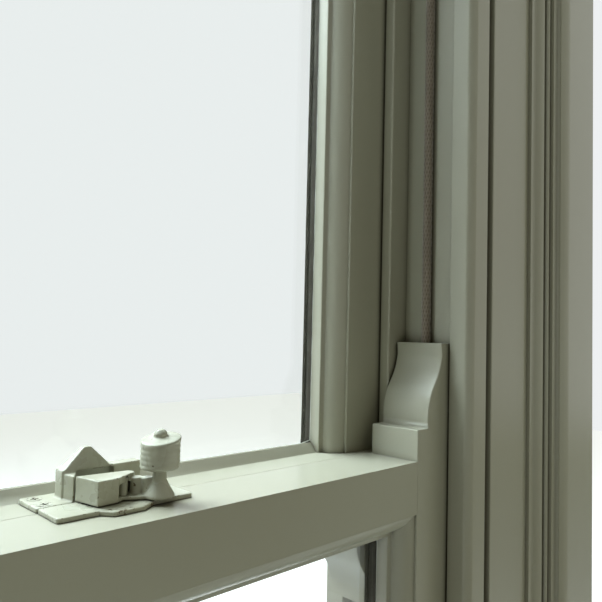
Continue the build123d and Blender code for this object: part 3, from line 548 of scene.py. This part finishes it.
class Surroundings:
    """What lies against each construction node, asked edge by edge.

    The shares are the places asked along an edge, and the far coordinate is out of every piece's reach.
    """

    SHARES = (0.1, 0.3, 0.5, 0.7, 0.9)
    FAR = 9.0

    def __init__(self, reach: float = 0.35 * MM) -> None:
        """Keeps how near, in metres, another piece has to be to count as touching."""
        self.reach = reach
        self.boxes = {name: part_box(name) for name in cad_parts}

    def near(self, node: str) -> BVHTree:
        """A tree over the faces of every node whose box meets this one's.

        Args:
            node: The construction node asked for.

        Returns:
            The tree of its neighbours' faces, or of one triangle far away where it has none.
        """
        low, high = self.boxes[node]
        points: list[Vector] = []
        faces: list[tuple[int, ...]] = []
        for name, (other_low, other_high) in self.boxes.items():
            if name == node or any(
                other_low[i] > high[i] + self.reach or other_high[i] < low[i] - self.reach for i in range(3)
            ):
                continue
            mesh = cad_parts[name].data
            start = len(points)
            points += [v.co.copy() for v in mesh.vertices]
            faces += [tuple(start + i for i in p.vertices) for p in mesh.polygons]
        if not faces:
            away = Vector((self.FAR, self.FAR, self.FAR))
            points = [away, away + Vector((0, 0, 1)), away + Vector((0, 1, 0))]
            faces = [(0, 1, 2)]
        return BVHTree.FromPolygons(points, faces)

    def touches(self, tree: BVHTree, start: Vector, end: Vector) -> bool:
        """Whether at least three of five points along an edge lie against a neighbour."""
        hits = sum(tree.find_nearest(start.lerp(end, s), self.reach)[0] is not None for s in self.SHARES)
        return hits > len(self.SHARES) / 2


def link_piece(name: str, mesh: bpy.types.Mesh) -> bpy.types.Object:
    """Puts a mesh in the scene as a piece.

    Args:
        name: The piece's name.
        mesh: Its mesh, placed in the row frame.

    Returns:
        The new object.
    """
    made = bpy.data.objects.new(name, mesh)
    bpy.context.scene.collection.objects.link(made)
    return made


def mesh_from(work: bmesh.types.BMesh, name: str) -> bpy.types.Mesh:
    """Turns a mesh being worked on into a plain one.

    Args:
        work: The worked mesh, freed here.
        name: The new mesh's name.

    Returns:
        The plain mesh.
    """
    mesh = bpy.data.meshes.new(name)
    work.to_mesh(mesh)
    work.free()
    return mesh


def settle(piece: bpy.types.Object) -> None:
    """Turns a piece with live modifiers into a plain mesh.

    Args:
        piece: The piece to settle.
    """
    graph = bpy.context.evaluated_depsgraph_get()
    graph.update()
    mesh = bpy.data.meshes.new_from_object(
        piece.evaluated_get(graph), preserve_all_data_layers=True, depsgraph=graph
    )
    piece.modifiers.clear()
    piece.data = mesh


def dress(piece: bpy.types.Object, finish: bpy.types.Material) -> None:
    """Gives a piece one material on all its faces.

    Args:
        piece: The piece.
        finish: The material.
    """
    piece.data.materials.clear()
    piece.data.materials.append(finish)
    piece.data.polygons.foreach_set("material_index", [0] * len(piece.data.polygons))


def dress_node(node: str, finish: bpy.types.Material) -> None:
    """Gives a construction node that stays in view its material.

    Args:
        node: The construction node.
        finish: The material.
    """
    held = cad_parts[node]
    if not held.material_slots:
        held.data.materials.append(finish)
    for slot in held.material_slots:
        slot.material = finish
    log.info("%s: dressed as built", node)


def smooth_faces(mesh: bpy.types.Mesh) -> None:
    """Shades all of a mesh's faces smooth."""
    mesh.polygons.foreach_set("use_smooth", [True] * len(mesh.polygons))


def report(piece: bpy.types.Object) -> None:
    """Logs a finished piece with its number of faces."""
    log.info("%s: %d faces", piece.name, len(piece.data.polygons))


def merged_copy(node: str) -> bmesh.types.BMesh:
    """A construction node's mesh with its doubles merged and its flats made whole.

    Args:
        node: The construction node.

    Returns:
        The merged mesh.
    """
    work = bmesh.new()
    work.from_mesh(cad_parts[node].data)
    bmesh.ops.remove_doubles(work, verts=work.verts, dist=SAME_PLACE)
    bmesh.ops.dissolve_limit(
        work, angle_limit=FLAT_ANGLE, verts=work.verts, edges=work.edges, delimit={"NORMAL"}
    )
    return work


@dataclass(frozen=True)
class HornShift:
    """Sets the curved side of a stile's horn nearer to the pane."""

    below: float
    nearest: float
    farthest: float
    distance: float

    def apply(self, work: bmesh.types.BMesh) -> None:
        """Moves the horn's curved side.

        Args:
            work: The stile's mesh.
        """
        for vert in work.verts:
            if vert.co.z < self.below and self.nearest < abs(vert.co.x) < self.farthest:
                vert.co.x -= math.copysign(self.distance, vert.co.x)


@dataclass(frozen=True)
class Softener:
    """Rounds a painted piece's free arrises, as thick paint does."""

    around: Surroundings
    arris: float = 0.9 * MM
    joint_share: float = 0.22
    crease: float = math.radians(28)
    segments: int = 3

    def soften(self, node: str, body: str, finish: Finish, horn: Optional[HornShift] = None) -> None:
        """Replaces a painted construction node by a copy with rounded arrises.

        Args:
            node: The construction node.
            body: The body it rides on.
            finish: Its paint.
            horn: How the node's horn is set over, where it is.
        """
        work = merged_copy(node)
        if horn:
            horn.apply(work)
        tree = self.around.near(node)
        weights = work.edges.layers.float.new("bevel_weight_edge")
        for edge in work.edges:
            if len(edge.link_faces) != 2 or edge.calc_face_angle(0.0) < self.crease:
                continue
            if not edge.is_convex:
                edge.smooth = False
                continue
            ends = [v.co for v in edge.verts]
            edge[weights] = self.joint_share if self.around.touches(tree, *ends) else 1.0
        for face in work.faces:
            face.smooth = True
        name = f"{node}_painted"
        piece = link_piece(name, mesh_from(work, name))
        rounding = piece.modifiers.new("rounding", "BEVEL")
        rounding.limit_method = "WEIGHT"
        rounding.width = self.arris
        rounding.segments = self.segments
        rounding.use_clamp_overlap = True
        evening = piece.modifiers.new("evening", "WEIGHTED_NORMAL")
        evening.keep_sharp = True
        settle(piece)
        dress(piece, finish.material())
        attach(piece, body)
        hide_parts(node)
        report(piece)


@dataclass(frozen=True)
class Casting:
    """A small painted casting of the fastener.

    The passes say how far the coats flow over its edges, and the lift how far it stands off what it turns on.
    """

    node: str
    body: str
    passes: int
    lift: float = 0.0
    grid: float = 0.4 * MM

    def coat(self, paint: bpy.types.Material) -> None:
        """Replaces the casting by a remeshed, paint-softened copy.

        Args:
            paint: Its material.
        """
        name = f"{self.node}_painted"
        piece = link_piece(name, mesh_from(merged_copy(self.node), name))
        flow = piece.modifiers.new("flow", "REMESH")
        flow.mode = "VOXEL"
        flow.voxel_size = self.grid
        flow.use_smooth_shade = True
        ease = piece.modifiers.new("ease", "SMOOTH")
        ease.factor = 0.5
        ease.iterations = self.passes
        settle(piece)
        piece.data.transform(Matrix.Translation((0, 0, self.lift)))
        smooth_faces(piece.data)
        dress(piece, paint)
        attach(piece, self.body)
        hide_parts(self.node)
        report(piece)


class TubeTree(Wiring):
    """The Geometry Nodes tree that lays a round section along a path, plaited or plain."""

    INPUTS = (
        ("Radius", "NodeSocketFloat"),
        ("Step", "NodeSocketFloat"),
        ("Sides", "NodeSocketInt"),
        ("Strands", "NodeSocketFloat"),
        ("Pitch", "NodeSocketFloat"),
        ("Relief", "NodeSocketFloat"),
        ("Unevenness", "NodeSocketFloat"),
        ("Seed", "NodeSocketFloat"),
        ("Finish", "NodeSocketMaterial"),
    )
    LUMPS_PER_METRE = 260.0

    def __init__(self) -> None:
        """Builds the tree."""
        super().__init__(bpy.data.node_groups.new("tube_along_path", "GeometryNodeTree"))
        face = self.tree.interface
        face.new_socket(name="Geometry", in_out="INPUT", socket_type="NodeSocketGeometry")
        self.keys = {
            name: face.new_socket(name=name, in_out="INPUT", socket_type=kind).identifier
            for name, kind in self.INPUTS
        }
        face.new_socket(name="Geometry", in_out="OUTPUT", socket_type="NodeSocketGeometry")
        self._wire()

    def _stored(
        self, geometry: bpy.types.NodeSocket, name: str, value: bpy.types.NodeSocket
    ) -> bpy.types.NodeSocket:
        """Keeps a value on the points under a name.

        Args:
            geometry: The geometry that carries it.
            name: The attribute's name.
            value: The value kept.

        Returns:
            The geometry with the attribute.
        """
        made = self.node("GeometryNodeStoreNamedAttribute", data_type="FLOAT", domain="POINT")
        made.inputs["Name"].default_value = name
        self.link(geometry, made.inputs["Geometry"])
        self.link(value, made.inputs["Value"])
        return made.outputs["Geometry"]

    def _named(self, name: str) -> bpy.types.NodeSocket:
        """Reads a kept value.

        Args:
            name: The attribute's name.

        Returns:
            Its socket.
        """
        made = self.node("GeometryNodeInputNamedAttribute", data_type="FLOAT")
        made.inputs["Name"].default_value = name
        return made.outputs["Attribute"]

    def _wire(self) -> None:
        """Wires path, section, plait and finish."""
        given = self.node("NodeGroupInput").outputs
        path = self.node("GeometryNodeMeshToCurve")
        self.link(given["Geometry"], path.inputs["Mesh"])
        evened = self.node("GeometryNodeResampleCurve", mode="LENGTH")
        self.link(path.outputs["Curve"], evened.inputs["Curve"])
        self.link(given["Step"], evened.inputs["Length"])
        along = self.node("GeometryNodeSplineParameter").outputs["Length"]
        spine = self._stored(evened.outputs["Curve"], "along", along)
        ring = self.node("GeometryNodeCurvePrimitiveCircle", mode="RADIUS")
        self.link(given["Sides"], ring.inputs["Resolution"])
        self.link(given["Radius"], ring.inputs["Radius"])
        around = self.node("GeometryNodeSplineParameter").outputs["Factor"]
        profile = self._stored(ring.outputs["Curve"], "around", around)
        skin = self.node("GeometryNodeCurveToMesh")
        self.link(spine, skin.inputs["Curve"])
        self.link(profile, skin.inputs["Profile Curve"])
        skin.inputs["Fill Caps"].default_value = True
        turn = self.math("MULTIPLY", self.math("MULTIPLY", self._named("around"), given["Strands"]), math.tau)
        climb = self.math("MULTIPLY", self.math("DIVIDE", self._named("along"), given["Pitch"]), math.tau)
        right = self.math("COSINE", self.math("ADD", turn, climb))
        left = self.math("COSINE", self.math("SUBTRACT", turn, climb))
        plait = self.math("MAXIMUM", right, left)
        raised = self.math("MULTIPLY", self.math("ADD", plait, 1.0), 0.5)
        bumps = self.node("ShaderNodeTexNoise", noise_dimensions="4D")
        bumps.inputs["Scale"].default_value = self.LUMPS_PER_METRE
        self.link(given["Seed"], bumps.inputs["W"])
        lump = self.math("SUBTRACT", bumps.outputs["Fac"], 0.5)
        height = self.math(
            "ADD",
            self.math("MULTIPLY", self.math("SUBTRACT", raised, 1.0), given["Relief"]),
            self.math("MULTIPLY", lump, given["Unevenness"]),
        )
        marked = self._stored(skin.outputs["Mesh"], "raised", raised)
        normal = self.node("GeometryNodeInputNormal")
        offset = self.node("ShaderNodeVectorMath", operation="SCALE")
        self.link(normal.outputs["Normal"], offset.inputs["Vector"])
        self.link(height, offset.inputs["Scale"])
        moved = self.node("GeometryNodeSetPosition")
        self.link(marked, moved.inputs["Geometry"])
        self.link(offset.outputs["Vector"], moved.inputs["Offset"])
        smooth = self.node("GeometryNodeSetShadeSmooth")
        self.link(moved.outputs["Geometry"], smooth.inputs["Geometry"])
        real = self.node("GeometryNodeRealizeInstances")
        self.link(smooth.outputs["Geometry"], real.inputs["Geometry"])
        finish = self.node("GeometryNodeSetMaterial")
        self.link(real.outputs["Geometry"], finish.inputs["Geometry"])
        self.link(given["Finish"], finish.inputs["Material"])
        self.link(finish.outputs["Geometry"], self.node("NodeGroupOutput").inputs["Geometry"])

    def lay(self, name: str, path: list[Vector], values: dict[str, object]) -> bpy.types.Object:
        """Lays the section along a path and settles it to a plain mesh.

        Args:
            name: The piece's name.
            path: Its points; a path whose ends meet is closed.
            values: The tree's inputs by name.

        Returns:
            The piece, with no modifier left.
        """
        closed = (path[0] - path[-1]).length < SAME_PLACE
        run = path[:-1] if closed else path
        edges = [(i, i + 1) for i in range(len(run) - 1)]
        if closed:
            edges.append((len(run) - 1, 0))
        mesh = bpy.data.meshes.new(name)
        mesh.from_pydata(run, edges, [])
        piece = link_piece(name, mesh)
        laid = piece.modifiers.new("tube", "NODES")
        laid.node_group = self.tree
        for key, value in values.items():
            laid[self.keys[key]] = value
        settle(piece)
        return piece


@dataclass
class CordMaker:
    """Braided sash cords, split where they turn over their pulleys."""

    tubes: TubeTree
    diameter: float = 7.6 * MM
    relief: float = 0.32 * MM
    fuzz: float = 0.7 * MM
    strands: float = 10.0
    pitch: float = 7.0 * MM
    step: float = 0.7 * MM
    sides: int = 36
    seed: float = 3.0
    hole_depth: float = 22 * MM
    groove_length: float = 300 * MM
    bend_steps: int = 48

    def braid(self, name: str, path: list[Vector]) -> bpy.types.Object:
        """One stretch of cord along a path.

        Args:
            name: The piece's name.
            path: Its points.

        Returns:
            The braided piece.
        """
        values = {
            "Radius": self.diameter / 2,
            "Step": self.step,
            "Sides": self.sides,
            "Strands": self.strands,
            "Pitch": self.pitch,
            "Relief": self.relief,
            "Unevenness": self.fuzz,
            "Seed": self.seed,
            "Finish": CORD_COTTON.material(),
        }
        return self.tubes.lay(name, path, values)

    def hang(self, sash: str, side: Side) -> None:
        """Makes one cord: its sash run, its bend over the wheel and its weight run.

        Args:
            sash: The sash it carries, "lower" or "upper".
            side: The side of the window.
        """
        node = f"{sash}_cord_{side.word}"
        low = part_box(node)[0]
        wheel_low, wheel_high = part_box(f"{sash}_pulley_wheel_{side.word}")
        wheel = (wheel_low + wheel_high) / 2
        weight_low, weight_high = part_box(f"{sash}_weight_{side.word}")
        weight_x = (weight_low.x + weight_high.x) / 2
        bend = abs(weight_x - wheel.x)
        sash_x = wheel.x - side.value * bend
        depth = wheel.y
        stile_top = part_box(f"{sash}_stile_{side.word}")[1].z
        sash_end = low.z if sash == "lower" else stile_top - self.groove_length
        weight_end = weight_high.z - self.hole_depth
        turns = (math.pi * i / self.bend_steps for i in range(self.bend_steps + 1))
        arc = [
            Vector((wheel.x - side.value * bend * math.cos(a), depth, wheel.z + bend * math.sin(a)))
            for a in turns
        ]
        sash_run = self.braid(f"{node}_sash_run", [Vector((sash_x, depth, sash_end)), arc[0]])
        bend_run = self.braid(f"{node}_bend", arc)
        weight_run = self.braid(f"{node}_weight_run", [arc[-1], Vector((weight_x, depth, weight_end))])
        runs = {"sash": (sash_run, sash_end), "weight": (weight_run, weight_end)}
        shortens, stretches = ("sash", "weight") if sash == "lower" else ("weight", "sash")
        short, short_end = runs[shortens]
        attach(short, "frame")
        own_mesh(short)
        long, long_end = runs[stretches]
        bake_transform(long)
        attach(bend_run, "frame")
        for run in (sash_run, bend_run, weight_run):
            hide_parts(node)
            report(run)


@dataclass
class PaintedFrame:
    """Sill, head, stiles, linings, beads and architraves."""

    softener: Softener
    upright: tuple[str, ...] = (
        "architrave", "inner_lining", "outer_lining", "parting_bead", "staff_bead", "pulley_stile",
    )
    level: tuple[str, ...] = (
        "architrave_head", "inner_lining_head", "outer_lining_head", "parting_bead_head",
        "staff_bead_head", "staff_bead_sill", "head", "sill",
    )

    def build(self) -> None:
        """Dresses the frame's pieces."""
        for name in self.upright:
            for side in Side:
                self.softener.soften(f"{name}_{side.word}", "frame", UPRIGHT_PAINT)
        for node in self.level:
            self.softener.soften(node, "frame", LEVEL_PAINT)
        dress_node("pocket_pieces", UPRIGHT_PAINT.material())
        dress_node("parting_slips", SOFTWOOD.material())
        for side in Side:
            dress_node(f"back_lining_{side.word}", SOFTWOOD.material())
        dress_node("frame_screws", DULL_STEEL.material())


@dataclass(frozen=True)
class GlazingLine:
    """A thin uneven bead all round a pane.

    The inset is how far inside the pane's edge it runs, and the depth how far behind the pane's front face.
    """

    name: str
    inset: float
    depth: float
    radius: float
    finish: Finish
    unevenness: float = 0.5 * MM
    step: float = 12 * MM
    sides: int = 8
    seed: float = 7.0

    def lay(self, sash: str, tubes: TubeTree) -> None:
        """Lays the bead in a sash.

        Args:
            sash: The sash, "lower" or "upper".
            tubes: The tree that lays it.
        """
        low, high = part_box(f"{sash}_glass")
        left, right = low.x + self.inset, high.x - self.inset
        bottom, top = low.z + self.inset, high.z - self.inset
        corners = [(left, bottom), (right, bottom), (right, top), (left, top), (left, bottom)]
        path = [Vector((x, low.y + self.depth, z)) for x, z in corners]
        values = {
            "Radius": self.radius,
            "Step": self.step,
            "Sides": self.sides,
            "Strands": 0.0,
            "Pitch": 1.0,
            "Relief": 0.0,
            "Unevenness": self.unevenness,
            "Seed": self.seed,
            "Finish": self.finish.material(),
        }
        line = tubes.lay(f"{sash}_{self.name}", path, values)
        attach(line, f"{sash}_sash")
        report(line)


@dataclass
class Sash:
    """One sash: stiles with horns, rails, pane and putty."""

    name: str
    rails: tuple[str, str]
    softener: Softener
    tubes: TubeTree
    horn: Optional[HornShift] = None
    lines: tuple[GlazingLine, ...] = (
        GlazingLine("sealant", inset=7.75 * MM, depth=0.0, radius=0.5 * MM, finish=SEALANT),
        GlazingLine("putty_shoulder", inset=0.4 * MM, depth=17.4 * MM, radius=1.5 * MM, finish=GLAZING_PUTTY),
    )

    def build(self) -> None:
        """Dresses the sash's pieces and beds its pane."""
        body = f"{self.name}_sash"
        for side in Side:
            self.softener.soften(f"{self.name}_stile_{side.word}", body, UPRIGHT_PAINT, self.horn)
        for rail in self.rails:
            self.softener.soften(f"{self.name}_{rail}", body, LEVEL_PAINT)
        dress_node(f"{self.name}_glass", WINDOW_GLASS.material())
        dress_node(f"{self.name}_putty", GLAZING_PUTTY.material())
        for line in self.lines:
            line.lay(self.name, self.tubes)


@dataclass
class Fastener:
    """The brass catch on the meeting rails, under its coats of paint."""

    castings: tuple[Casting, ...] = (
        Casting("fastener_base", "lower_sash", passes=6),
        Casting("fastener_keep", "upper_sash", passes=16),
        Casting("fastener_lever", "lever", passes=10, lift=0.08 * MM),
        Casting("fastener_knob", "lever", passes=30),
    )
    boss_left: float = -18.0 * MM
    boss_right: float = 14.0 * MM
    boss_left_slant: float = 5.0 * MM
    boss_right_slant: float = 10.0 * MM
    boss_reach: float = 6.5 * MM
    boss_root: float = 2.0 * MM
    boss_thick: float = 2.5 * MM
    boss_round: float = 0.5 * MM

    def build(self) -> None:
        """Coats the castings, dresses their screws and adds the base plate's lobe."""
        paint = FASTENER_PAINT.material()
        for casting in self.castings:
            casting.coat(paint)
        for node in ("base_screws", "keep_screws"):
            dress_node(node, paint)
        self._boss(paint)

    def _boss(self, paint: bpy.types.Material) -> None:
        """The base plate's lobe in front of the lever's pin.

        Args:
            paint: Its material.
        """
        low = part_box("fastener_base")[0]
        left, right = self.boss_left, self.boss_right
        root, front, nose = low.y + self.boss_root, low.y, low.y - self.boss_reach
        outline = (
            (left, root),
            (left, front),
            (left + self.boss_left_slant, nose),
            (right - self.boss_right_slant, nose),
            (right, front),
            (right, root),
        )
        work = bmesh.new()
        lower = [work.verts.new((x, y, low.z)) for x, y in outline]
        upper = [work.verts.new((x, y, low.z + self.boss_thick)) for x, y in outline]
        work.faces.new(list(reversed(lower)))
        work.faces.new(upper)
        for i in range(len(outline)):
            j = (i + 1) % len(outline)
            work.faces.new((lower[i], lower[j], upper[j], upper[i]))
        bmesh.ops.recalc_face_normals(work, faces=work.faces[:])
        bmesh.ops.bevel(
            work, geom=work.edges[:], offset=self.boss_round,
            segments=3, profile=0.5, affect="EDGES", clamp_overlap=True,
        )
        mesh = mesh_from(work, "fastener_boss")
        smooth_faces(mesh)
        boss = link_piece("fastener_boss", mesh)
        dress(boss, paint)
        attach(boss, "lower_sash")
        report(boss)


@dataclass
class Balance:
    """Cords, pulleys and weights."""

    cords: CordMaker

    def build(self) -> None:
        """Dresses the castings and makes the cords."""
        for sash in ("lower", "upper"):
            for side in Side:
                dress_node(f"{sash}_pulley_case_{side.word}", AGED_BRASS.material())
                dress_node(f"{sash}_pulley_wheel_{side.word}", AGED_BRASS.material())
                dress_node(f"{sash}_weight_{side.word}", CAST_IRON.material())
                self.cords.hang(sash, side)


@dataclass
class Viewpoint:
    """The photograph's camera as plain angles and a lens."""

    place: tuple[float, float, float] = (-0.1747, -0.2743, 0.8656)
    azimuth: float = 44.79
    pitch: float = 2.71
    roll: float = 1.385
    sensor: float = 36.0
    lens: float = 37.70

    def build(self) -> None:
        """Makes the camera and gives it to the scene."""
        data = bpy.data.cameras.new("viewpoint")
        data.sensor_width = self.sensor
        data.lens = self.lens
        data.clip_start = 10 * MM
        camera = bpy.data.objects.new("viewpoint", data)
        bpy.context.scene.collection.objects.link(camera)
        turn = (
            Matrix.Rotation(math.radians(-self.azimuth), 4, "Z")
            @ Matrix.Rotation(math.radians(90 + self.pitch), 4, "X")
            @ Matrix.Rotation(math.radians(self.roll), 4, "Z")
        )
        camera.matrix_world = Matrix.Translation(self.place) @ turn
        bpy.context.scene.camera = camera


@dataclass(frozen=True)
class Lamp:
    """One soft area lamp aimed at a point."""

    name: str
    place: tuple[float, float, float]
    target: tuple[float, float, float]
    width: float
    power: float
    colour: tuple[float, float, float]
    mirrored: bool

    def build(self) -> None:
        """Hangs the lamp."""
        data = bpy.data.lights.new(self.name, "AREA")
        data.shape = "SQUARE"
        data.size = self.width
        data.energy = self.power
        data.color = self.colour
        lamp = bpy.data.objects.new(self.name, data)
        lamp.visible_camera = False
        lamp.visible_transmission = False
        lamp.visible_glossy = self.mirrored
        bpy.context.scene.collection.objects.link(lamp)
        lamp.location = self.place
        aim = Vector(self.target) - Vector(self.place)
        lamp.rotation_euler = aim.to_track_quat("-Z", "Y").to_euler()


DAYLIGHT = Lamp(
    "daylight", place=(-0.4, 1.5, 2.6), target=(0.2, 0.0, 0.8), width=1.5, power=135.0,
    colour=(0.82, 0.91, 1.0), mirrored=True,
)
ROOM_LIGHT = Lamp(
    "room", place=(1.7, -1.1, 1.0), target=(0.3, 0.0, 0.8), width=1.2, power=6.0,
    colour=(0.98, 1.0, 0.78), mirrored=False,
)


@dataclass
class Studio:
    """Pale floor, pale background and soft daylight from outdoors."""

    floor_reach: float = 6.0
    floor_roughness: float = 0.9
    floor_glow: float = 0.74
    backdrop: Colour = (0.86, 0.88, 0.89, 1.0)
    ambient: Colour = (0.94, 0.92, 0.66, 1.0)
    ambient_strength: float = 0.26
    lamps: tuple[Lamp, ...] = (DAYLIGHT, ROOM_LIGHT)

    def build(self) -> None:
        """Lays the floor, paints the world and hangs the lamps."""
        self._floor()
        self._world()
        for lamp in self.lamps:
            lamp.build()
        bpy.context.scene.view_settings.view_transform = "Standard"

    def _floor(self) -> None:
        """A wide plane under the sill, in the background's colour."""
        reach = self.floor_reach
        corners = [(-reach, -reach, 0), (reach, -reach, 0), (reach, reach, 0), (-reach, reach, 0)]
        mesh = bpy.data.meshes.new("floor")
        mesh.from_pydata(corners, [], [(0, 1, 2, 3)])
        floor = link_piece("floor", mesh)
        shader = Shader("floor")
        shader.give("Base Color", self.backdrop)
        shader.give("Roughness", self.floor_roughness)
        shader.give("Emission Color", self.backdrop)
        path = shader.node("ShaderNodeLightPath").outputs
        seen = shader.math("MAXIMUM", path["Is Camera Ray"], path["Is Transmission Ray"])
        shader.give("Emission Strength", shader.math("MULTIPLY", seen, self.floor_glow))
        dress(floor, shader.material)

    def _world(self) -> None:
        """A pale background that also lights the scene softly."""
        world = bpy.data.worlds.new("studio")
        bpy.context.scene.world = world
        world.use_nodes = True
        sky = Wiring(world.node_tree)
        shown = sky.node("ShaderNodeBackground")
        shown.inputs["Color"].default_value = self.backdrop
        lit = sky.node("ShaderNodeBackground")
        lit.inputs["Color"].default_value = self.ambient
        lit.inputs["Strength"].default_value = self.ambient_strength
        path = sky.node("ShaderNodeLightPath").outputs
        seen = path["Is Camera Ray"]
        for ray in ("Is Glossy Ray", "Is Transmission Ray"):
            seen = sky.math("MAXIMUM", seen, path[ray])
        blend = sky.node("ShaderNodeMixShader")
        sky.link(seen, blend.inputs["Fac"])
        sky.link(lit.outputs["Background"], blend.inputs[1])
        sky.link(shown.outputs["Background"], blend.inputs[2])
        output = sky.node("ShaderNodeOutputWorld")
        sky.link(blend.outputs["Shader"], output.inputs["Surface"])


def main() -> None:
    """Builds the camera, the studio and the window."""
    logging.basicConfig(level=logging.INFO, format="%(name)s %(message)s")
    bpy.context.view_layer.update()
    Viewpoint().build()
    Studio().build()
    softener = Softener(Surroundings())
    tubes = TubeTree()
    PaintedFrame(softener).build()
    Sash("lower", ("bottom_rail", "meeting_rail"), softener, tubes).build()
    horn = HornShift(below=707.6 * MM, nearest=230 * MM, farthest=262 * MM, distance=17.8 * MM)
    Sash("upper", ("meeting_rail", "top_rail"), softener, tubes, horn).build()
    Balance(CordMaker(tubes)).build()
    Fastener().build()


if __name__ == "__main__":
    main()
